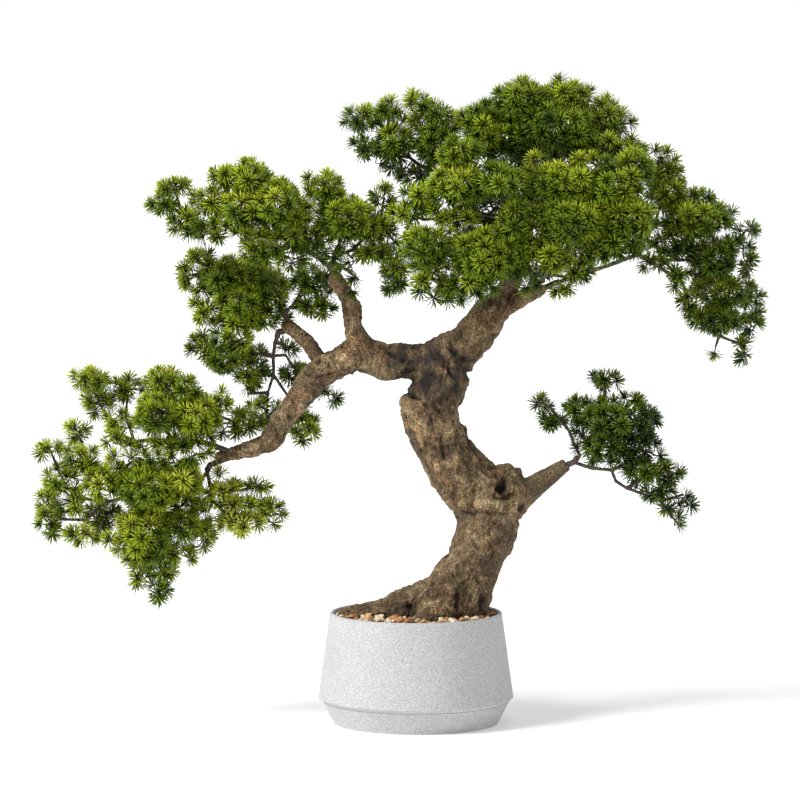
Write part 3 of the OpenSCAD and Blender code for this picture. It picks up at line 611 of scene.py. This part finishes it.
def scar_centres(surface, rest, rng):
    """Rows of [x, y, z, radius, height]: SCARS on the bark's front, then knobs scattered over the rest."""
    rows = []
    for x, z, radius, rise in SCARS:
        hit = surface.ray_cast(Vector((x * MM, -1, z * MM)), Vector((0, 1, 0)))[0]
        centre = hit or surface.find_nearest(Vector((x * MM, 0, z * MM)))[0]
        rows.append([*centre, radius * MM, rise])
    behind = rest[rest[:, 1] > -4 * MM]
    for pick in rng.choice(len(behind), KNOBS_BEHIND, replace=False):
        radius = (4 + 4 * rng.random()) * MM
        rows.append([*behind[pick], radius, 2 + 2 * rng.random()])
    return np.array(rows)


def paint_bark(mesh, rest, rise, dark, smooth, base_z):
    """Vertex colours: red is the bark's height; green how dark it is, from its stains, the painted shade in its
    hollows and creases, and a darker band just above the soil; and blue how grey it is.
    """
    # Darker in a band just above the soil
    foot = np.exp(-((rest[:, 2] - base_z) / DARK_FOOT_BAND) ** 2) * 0.5
    low = np.clip((GREY_TOP - rest[:, 2]) / GREY_RUN, 0, 1) * 0.15
    rows = np.ones((len(rest), 4))
    rows[:, 0] = np.clip(0.5 + rise / 8, 0, 1)
    rows[:, 1] = np.clip(dark + foot, 0, 1)
    rows[:, 2] = np.clip(low + smooth * 0.8, 0, 1)
    colours = mesh.color_attributes.new("relief", "FLOAT_COLOR", "POINT")
    colours.data.foreach_set("color", rows.ravel())


def make_bark():
    """One bark skin over the trunk and its limbs, which are moulded and filled as one on the real tree."""
    bark = remeshed("bark", WOOD, WOOD_VOXEL, 8)
    smooth_lo, smooth_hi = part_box("low_right_branch")
    base_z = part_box("soil_layer")[1].z
    rest = points_of(bark.data)
    surface = BVHTree.FromPolygons(rest.tolist(), faces_of(bark.data))
    scars = scar_centres(surface, rest, np.random.default_rng(50))

    inside = (rest[:, 2] > smooth_lo.z - 2 * MM) & (rest[:, 2] < smooth_hi.z + 2 * MM)
    smooth = np.clip((rest[:, 0] - smooth_lo.x - SMOOTH_START) / SMOOTH_RUN, 0, 1) * inside
    rise = np.array([bark_relief(Vector(p)) for p in rest]) * (1 - 0.75 * smooth)
    # pits is painted shade, darker in the hollow scars and along the creases
    pits = np.zeros(len(rest))
    for x, y, z, radius, height in scars:
        spread = np.exp(-((rest - [x, y, z]) ** 2).sum(1) / radius ** 2)
        rise += height * spread
        if height < -2:
            pits += 0.9 * spread
    weave = np.array([noise.noise(Vector(p) / BARK_WEAVE) for p in rest])
    strength = 0.7 + 1.3 * weave
    wavy = rest + weave[:, None] * 2.5 * MM
    for radius, height, line in CREASES:
        spread = np.exp(-(beside_line(wavy, np.array(line) * MM) / (radius * MM)) ** 2)
        rise += height * spread * np.clip(strength, 0.15, 1.4)
        if height < 0:
            pits -= 0.2 * height * spread * np.clip(strength, 0, 1)
    moved = rest + normals_of(bark.data) * rise[:, None] * MM
    bark.data.vertices.foreach_set("co", moved.ravel())
    bark.data.update()

    stain = np.zeros(len(rest))
    for x, z, radius in STAINS:
        away = (rest[:, 0] - x * MM) ** 2 + (rest[:, 2] - z * MM) ** 2
        stain += np.exp(-away / (radius * MM) ** 2)
    stain = np.clip(stain, 0, 1) * np.clip(0.75 + 1.5 * weave, 0.1, 1)
    paint_bark(bark.data, rest, rise, stain + pits, smooth, base_z)
    wear(bark, BARK_PAINT)
    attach(bark, FIXED_BODY)
    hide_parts(*WOOD)


# ---------------------------------------------------------------- sprays

def pad_samples(node, rng):
    """Trial tuft centres and directions, scattered evenly under a pad's surface."""
    points, triangles = welded(node)
    normals = vertex_normals(points, triangles)
    a, b, c = (points[triangles[:, k]] for k in range(3))
    areas = np.linalg.norm(np.cross(b - a, c - a), axis=1) / 2
    count = int(areas.sum() * 1e4 * CANDIDATES)
    pick = rng.choice(len(triangles), count, p=areas / areas.sum())
    root = np.sqrt(rng.random(count))[:, None]
    other = rng.random(count)[:, None]
    weights = (1 - root, root * (1 - other), root * other)
    places = sum(w * points[triangles[pick, k]] for k, w in enumerate(weights))
    outward = unit(sum(w * normals[triangles[pick, k]] for k, w in enumerate(weights)))
    solid = BVHTree.FromPolygons(points.tolist(), triangles.tolist())
    inset = []
    for place, out, stray in zip(places, outward, rng.normal(0, 1, count)):
        thickness = solid.ray_cast(Vector(place - out * 0.2 * MM), Vector(-out))[3]
        depth = TUFT_INSET + TOP_INSET * max(out[2], 0) + TUFT_STRAY * stray
        inset.append(min(depth, INSET_MOST * thickness) if thickness else 0.0)
    return places - outward * np.array(inset)[:, None], outward


def spaced(places, gap, rng):
    """Numbers of places that lie about a gap apart and cover the rest."""
    wobble = 0.85 + 0.3 * rng.random(len(places))
    chosen = [int(rng.integers(len(places)))]
    distance = np.linalg.norm(places - places[chosen[0]], axis=1)
    while True:
        best = int(np.argmax(distance * wobble))
        if distance[best] * wobble[best] < gap:
            return chosen
        chosen.append(best)
        distance = np.minimum(distance, np.linalg.norm(places - places[best], axis=1))


def needle_mesh(name, centres, axes, tones_with_shade, rng):
    """All of a pad's needles as one mesh: each is a closed three-sided blade that tapers to a point."""
    count = len(centres) * NEEDLES
    axis = np.repeat(axes, NEEDLES, axis=0)
    centre = np.repeat(centres, NEEDLES, axis=0)
    step = np.tile(np.arange(NEEDLES), len(centres))
    start = np.repeat(rng.random(len(centres)) * ANY_TURN, NEEDLES)
    spin = step * NEEDLE_SPIN + start + rng.normal(0, 0.12, count)
    level = np.clip(1 - (step + 0.5) / NEEDLES * 1.15 + rng.normal(0, 0.05, count), -0.3, 0.98)
    first = unit(np.cross(axis, np.where(np.abs(axis[:, 2:]) < STEEP, [[0, 0, 1.0]], [[1.0, 0, 0]])))
    second = np.cross(axis, first)
    flat = np.sqrt(1 - level ** 2)[:, None]
    along = axis * level[:, None] + flat * (np.cos(spin)[:, None] * first + np.sin(spin)[:, None] * second)
    upper = unit(axis - along * (axis * along).sum(1, keepdims=True) + 1e-6 * first)
    side = np.cross(along, upper)
    length = (TUFT_REACH * (0.86 + 0.14 * flat[:, 0]) * (1 + rng.normal(0, 0.06, count)))[:, None]
    curve = (rng.normal(0.5, 0.35, count) * MM)[:, None]
    rows = []
    for share, width, keel in ((0.0, 0.5, 0.6), (0.55, 1.0, 1.0)):
        middle = centre + along * (NEEDLE_FOOT + share * length) + upper * curve * (4 * share * (1 - share))
        rows += [middle - upper * NEEDLE_KEEL * keel, middle - side * NEEDLE_HALF_WIDTH * width,
                 middle + side * NEEDLE_HALF_WIDTH * width]
    rows.append(centre + along * length - upper * curve * 0.6)
    points = np.stack(rows, 1).reshape(-1, 3)
    return needles_from(name, points, tones_with_shade, rng)


def needles_from(name, points, tones_with_shade, rng):
    """The needles' object from their corners, with a map that runs across by tone, painted shade of the undersides
    included, and up to the tip.
    """
    count = len(points) // NEEDLE_CORNERS
    corners = np.concatenate([np.array(f) for f in NEEDLE_FACES])
    loops = (corners[None, :] + NEEDLE_CORNERS * np.arange(count)[:, None]).ravel()
    sizes = np.tile([len(f) for f in NEEDLE_FACES], count)
    starts = np.concatenate([[0], np.cumsum(sizes)[:-1]])
    mesh = bpy.data.meshes.new(name)
    mesh.vertices.add(len(points))
    mesh.vertices.foreach_set("co", points.ravel())
    mesh.loops.add(len(loops))
    mesh.loops.foreach_set("vertex_index", loops.astype(np.int32))
    mesh.polygons.add(len(sizes))
    mesh.polygons.foreach_set("loop_start", starts.astype(np.int32))
    tone = np.clip(np.repeat(tones_with_shade, NEEDLES) + rng.normal(0, 0.035, count), 0.01, 0.98)
    across = np.array([0.0, 0.0, 0.002, 0.0, 0.0, 0.002, 0.001])
    upward = np.array([0.02, 0.02, 0.02, 0.45, 0.45, 0.45, 0.98])
    u = tone[:, None] + across[corners][None, :]
    v = np.broadcast_to(upward[corners], u.shape)
    mesh.uv_layers.new(name="OFBake").data.foreach_set("uv", np.stack([u, v], -1).ravel())
    mesh.update(calc_edges=True)
    mesh.validate()
    return linked(name, mesh)


def twigs(stem_points, centres, axes, rng):
    """Tubes, as (points, faces), that join every tuft to the stem, each by way of its nearest neighbour."""
    feet = centres - axes * TWIG_FOOT
    stem = KDTree(len(stem_points))
    for i, p in enumerate(stem_points):
        stem.insert(p, i)
    stem.balance()
    found = [stem.find(p) for p in feet]
    source = np.array([f[0] for f in found])
    cost = np.array([f[2] for f in found])
    parent = np.full(len(feet), -1)
    order = []
    waiting = np.ones(len(feet), bool)
    while waiting.any():
        nearest = int(np.argmin(np.where(waiting, cost, np.inf)))
        waiting[nearest] = False
        order.append(nearest)
        distance = np.linalg.norm(feet - feet[nearest], axis=1) + 2 * MM
        closer = waiting & (distance < cost)
        cost[closer] = distance[closer]
        parent[closer] = nearest
        source[closer] = feet[nearest]
    load = np.ones(len(feet))
    for i in reversed(order):
        if parent[i] >= 0:
            load[parent[i]] += load[i]
    made = []
    for i in order:
        start, end = source[i], feet[i]
        length = np.linalg.norm(end - start)
        middle = (start + end) / 2 + (rng.normal(0, 0.12, 3) - axes[i] * 0.15) * length
        kink = rng.normal(0, 0.3, 3) * MM
        path = [start, (start + 2 * middle) / 3 + kink, (end + 2 * middle) / 3, end,
                centres[i] + axes[i] * 0.5 * MM]
        thick = min(TWIG_RADIUS * load[i] ** 0.3, TWIG_MOST)
        made.append(tube(path, [thick, thick * 0.9, thick * 0.95, TWIG_RADIUS, TWIG_RADIUS * 0.9]))
    return made


def sprouts(spray, places):
    """The trial point that each of a spray's sprouts takes after: the foremost of those nearest to it."""
    rows = []
    for x, z in SPROUTS.get(spray, []):
        away = np.hypot(places[:, 0] - x * MM, places[:, 2] - z * MM)
        nearest = np.argsort(away)[:SPROUT_NEIGHBOURS]
        rows.append(int(nearest[np.argmin(places[nearest, 1])]))
    return rows


def wire_relief(place):
    """Height of a stem's sleeve at a place, in metres: slight swellings and fine roughness."""
    return (0.35 * noise.noise(place / (5 * MM)) + 0.2 * noise.noise(place / (1.8 * MM))) * MM


def make_spray(spray, tone, gap, seed):
    """A spray's needle pad and its wire stem with its twigs, in place of their CAD solids."""
    rng = np.random.default_rng(seed)
    places, outward = pad_samples(spray + "_needles", rng)
    spread = spaced(places, gap * MM, rng)
    chosen = spread + sprouts(spray, places)
    centres = places[chosen]
    for number, (x, z) in enumerate(SPROUTS.get(spray, []), len(spread)):
        centres[number, [0, 2]] = x * MM, z * MM
    axes = unit(outward[chosen] + [0, 0, UP_LEAN] + rng.normal(0, 0.24, (len(chosen), 3)))
    patches = np.array([noise.noise(Vector(p) / (38 * MM)) for p in centres])
    # Painted light: tufts that face up are made lighter and those that face down darker
    tones_with_shade = tone + 0.3 * patches + 0.17 * outward[chosen][:, 2] + rng.normal(0, 0.075, len(chosen))
    needles = needle_mesh(spray + "_foliage", centres, axes, tones_with_shade, rng)
    wear(needles, NEEDLE_PLASTIC)
    body = BODY_OF[spray + "_needles"]
    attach(needles, body)
    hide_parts(spray + "_needles")

    wire = remeshed(spray + "_wire", [spray + "_stem"], WIRE_VOXEL, 3)
    displace(wire.data, wire_relief)
    wire_points = points_of(wire.data)
    wire_part = (wire_points, faces_of(wire.data))
    bpy.data.objects.remove(wire)
    stem = joined(spray + "_twigs", [wire_part] + twigs(wire_points, centres, axes, rng))
    wear(stem, STEM_SLEEVE)
    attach(stem, body)
    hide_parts(spray + "_stem")


def make_bend(joint, pegs):
    """The stretch of wire that bends where a spray leaves the wood, from its peg to just past the joint."""
    anchor = np.array(joint["pos_m"])
    peg = min(pegs, key=lambda p: np.linalg.norm(p - anchor, axis=1).min())
    reach = np.linalg.norm(peg - anchor, axis=1)
    root = peg[reach > reach.max() - 3 * MM].mean(0)
    stems = [node for node in BODIES[joint["child"]] if node.endswith("_stem")]
    stem = np.concatenate([points_of(NODES[n].data) for n in stems])
    away = np.linalg.norm(stem - anchor, axis=1)
    away[away < BEND_CLEAR] = np.inf
    onward = unit(stem[np.argsort(away)[:BEND_NEIGHBOURS]].mean(0) - anchor)
    path = [root, (root + anchor) / 2, anchor - unit(anchor - root) * 2.5 * MM, anchor,
            anchor + onward * 3 * MM, anchor + onward * 7 * MM]
    fine = np.linspace(0, len(path) - 1, 21)
    path = np.stack([np.interp(fine, range(len(path)), [p[k] for p in path]) for k in range(3)], 1)
    radii = [BEND_RADIUS + 0.5 * MM * noise.noise(Vector(p) / (3 * MM)) for p in path]
    radii[-1] -= 0.5 * MM
    piece = joined(joint["name"] + "_wire", [tube(path, radii, BEND_SIDES)])
    wear(piece, STEM_SLEEVE)
    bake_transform(piece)
    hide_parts("stem_pegs")


# ---------------------------------------------------------------- planter

PEBBLES = {
    "pale_stones": ((0.5, 0.36, 0.22), (0.8, 0.66, 0.46), (0.92, 0.86, 0.74)),
    "tan_stones": ((0.38, 0.2, 0.08), (0.66, 0.42, 0.19), (0.82, 0.62, 0.36)),
    "rust_stones": ((0.16, 0.06, 0.025), (0.44, 0.2, 0.07), (0.66, 0.38, 0.18)),
}
CHIPS = 8                   # flats cut off each pebble
GRAVEL = 150                # small chips of each colour
GRAVEL_CLEAR = 4 * MM       # room between the gravel and the rim
SOIL_RINGS = 44
SOIL_SPOKES = 150
# Each grainy material: its two colours, grain in repeats per metre, roughness, bump depth, and metallic
GRAINS = {
    "crumbly_soil": ((0.008, 0.006, 0.005), (0.05, 0.035, 0.024), 400, 0.85, 1.0 * MM),
    "drawn_steel": ((0.36, 0.36, 0.37), (0.55, 0.55, 0.55), 500, 0.38, 0.05 * MM, 1.0),
    "plug_rubber": ((0.02, 0.02, 0.02), (0.045, 0.045, 0.045), 300, 0.7, 0.1 * MM),
    "cast_cement": ((0.28, 0.27, 0.26), (0.5, 0.49, 0.47), 150, 0.9, 0.6 * MM),
    "flower_foam": ((0.5, 0.54, 0.32), (0.66, 0.7, 0.48), 600, 0.95, 0.4 * MM),
}


def pebble(size, rng):
    """(points, faces) of a chipped pebble round the origin, about size across."""
    ball = bmesh.new()
    bmesh.ops.create_icosphere(ball, subdivisions=3, radius=0.5)
    points = np.array([v.co for v in ball.verts])
    faces = [[v.index for v in f.verts] for f in ball.faces]
    ball.free()
    for _ in range(CHIPS):
        flat = unit(rng.normal(0, 1, 3))
        cut = 0.27 + 0.14 * rng.random()
        over = np.maximum(points @ flat - cut, 0)
        points -= over[:, None] * 0.94 * flat
    offset = Vector(rng.random(3) * 50)
    points *= 1 + 0.1 * np.array([noise.noise(Vector(p) * 3 + offset) for p in points])[:, None]
    points *= size * np.array([1.15, 0.95, 0.72]) * (0.9 + 0.2 * rng.random(3))
    turn = Matrix.Rotation(rng.random() * ANY_TURN, 3, "Z") @ Matrix.Rotation(rng.normal(0, 0.35), 3, "X")
    return points @ np.array(turn).T, faces


def make_pebbles(node, colours, rng):
    """Individually shaped pebbles where a node's stones lie, with small gravel between them."""
    parts = []
    for stone in loose_parts(node):
        centre = (stone.min(0) + stone.max(0)) / 2
        width = (stone.max(0) - stone.min(0))[:2].mean()
        points, faces = pebble(width * 0.98, rng)
        parts.append((points + [*centre[:2], stone[:, 2].min() + width * 0.3], faces))
        points, faces = pebble(width * (0.6 + 0.25 * rng.random()), rng)
        beside = centre[:2] + rng.normal(0, 3, 2) * MM
        parts.append((points + [*beside, stone[:, 2].max() + 0.8 * MM], faces))
    soil_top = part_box("soil_layer")[1]
    for _ in range(GRAVEL):
        angle = rng.random() * 2 * math.pi
        reach = math.sqrt(rng.random()) * (soil_top.x - GRAVEL_CLEAR)
        size = (3 + 3.5 * rng.random()) * MM
        points, faces = pebble(size, rng)
        lift = (1 + 4 * rng.random() ** 2 * reach / soil_top.x) * MM
        place = [reach * math.cos(angle), reach * math.sin(angle), soil_top.z + size * 0.3 + lift]
        parts.append((points + place, faces))
    piece = joined(node.replace("stones", "pebbles"), parts)
    wear(piece, stone_material(node + "_surface", *colours))
    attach(piece, BODY_OF[node])
    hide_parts(node)


def make_soil():
    """The soil: a closed disc with a crumbly top."""
    low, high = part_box("soil_layer")
    points = [[0, 0, high.z]]
    for ring in range(1, SOIL_RINGS + 1):
        reach = (high.x - 0.3 * MM) * ring / SOIL_RINGS
        for spoke in range(SOIL_SPOKES):
            angle = 2 * math.pi * spoke / SOIL_SPOKES
            place = Vector((reach * math.cos(angle), reach * math.sin(angle), 0))
            rise = 1.3 * noise.noise(place / (6 * MM)) + 0.7 * noise.noise(place / (2.2 * MM))
            points.append([place.x, place.y, high.z + rise * MM * (ring < SOIL_RINGS)])
    rim = len(points) - SOIL_SPOKES
    foot = len(points)
    points += [[x, y, low.z] for x, y, _ in points[rim:]]
    faces = []
    for spoke in range(SOIL_SPOKES):
        after = (spoke + 1) % SOIL_SPOKES
        faces.append([0, 1 + spoke, 1 + after])
        for ring in range(1, foot, SOIL_SPOKES):
            outer = ring + SOIL_SPOKES
            faces.append([ring + spoke, outer + spoke, outer + after, ring + after])
    faces.append(list(range(foot, len(points)))[::-1])
    soil = new_object("soil", points, faces)
    wear(soil, grainy_material("crumbly_soil", *GRAINS["crumbly_soil"]))
    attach(soil, BODY_OF["soil_layer"])
    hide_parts("soil_layer")


def finish_cad_nodes():
    """Materials of the CAD nodes that stay as they are."""
    for node in ("planter_pot", "saucer"):
        wear(NODES[node], SANDY_GLAZE)
    steel = grainy_material("drawn_steel", *GRAINS["drawn_steel"])
    for node in ("core_rod", "limb_wire", "leader_wire"):
        wear(NODES[node], steel)
    inner = {"drain_plug": "plug_rubber", "cement_ballast": "cast_cement", "foam_block": "flower_foam"}
    for node, grain in inner.items():
        wear(NODES[node], grainy_material(grain, *GRAINS[grain]))


# ---------------------------------------------------------------- stage

def make_stage():
    """Camera at the front, a little above level, a pale floor, and soft light from the upper left."""
    data = bpy.data.cameras.new("camera")
    data.lens = LENS
    data.sensor_width = SENSOR
    camera = linked("camera", data)
    back = Vector((0, -math.cos(ELEVATION), math.sin(ELEVATION)))
    camera.location = AIM + back * (FIELD * LENS / SENSOR)
    camera.rotation_euler = (-back).to_track_quat("-Z", "Y").to_euler()
    bpy.context.scene.camera = camera

    corners = [[-FLOOR_REACH, -FLOOR_REACH, 0], [FLOOR_REACH, -FLOOR_REACH, 0],
               [FLOOR_REACH, FLOOR_REACH, 0], [-FLOOR_REACH, FLOOR_REACH, 0]]
    floor = new_object("floor", corners, [[0, 1, 2, 3]])
    white, _, _, shader = material("floor_white", 0.9, (0.9, 0.9, 0.9))
    shader.inputs["Emission Color"].default_value = (1, 1, 1, 1)
    shader.inputs["Emission Strength"].default_value = FLOOR_GLOW
    wear(floor, white)

    for name, (towards, spread, power) in SUNS.items():
        lamp = bpy.data.lights.new(name, "SUN")
        lamp.angle = math.radians(spread)
        lamp.energy = power
        linked(name, lamp).rotation_euler = Vector(towards).to_track_quat("-Z", "Y").to_euler()

    world = bpy.data.worlds.new("studio")
    world.use_nodes = True
    add, link = node_tools(world.node_tree)
    parts = add("SeparateXYZ")
    link(add("TexCoord").outputs["Generated"], parts.inputs["Vector"])
    sky = ramp(add, SKY)
    link(parts.outputs["Z"], sky.inputs["Fac"])
    link(sky.outputs["Color"], world.node_tree.nodes["Background"].inputs["Color"])
    bpy.context.scene.world = world
    bpy.context.scene.view_settings.view_transform = "Standard"


make_stage()
finish_cad_nodes()
make_soil()
for number, (stones, colours) in enumerate(PEBBLES.items()):
    make_pebbles(stones, colours, np.random.default_rng(100 + number))
make_bark()
peg_parts = loose_parts("stem_pegs")
for joint in frame["joints"]:
    if joint["type"] == "hinge":
        make_bend(joint, peg_parts)
for number, (spray, (tone, gap)) in enumerate(SPRAYS.items()):
    make_spray(spray, tone, gap, 1 + number)
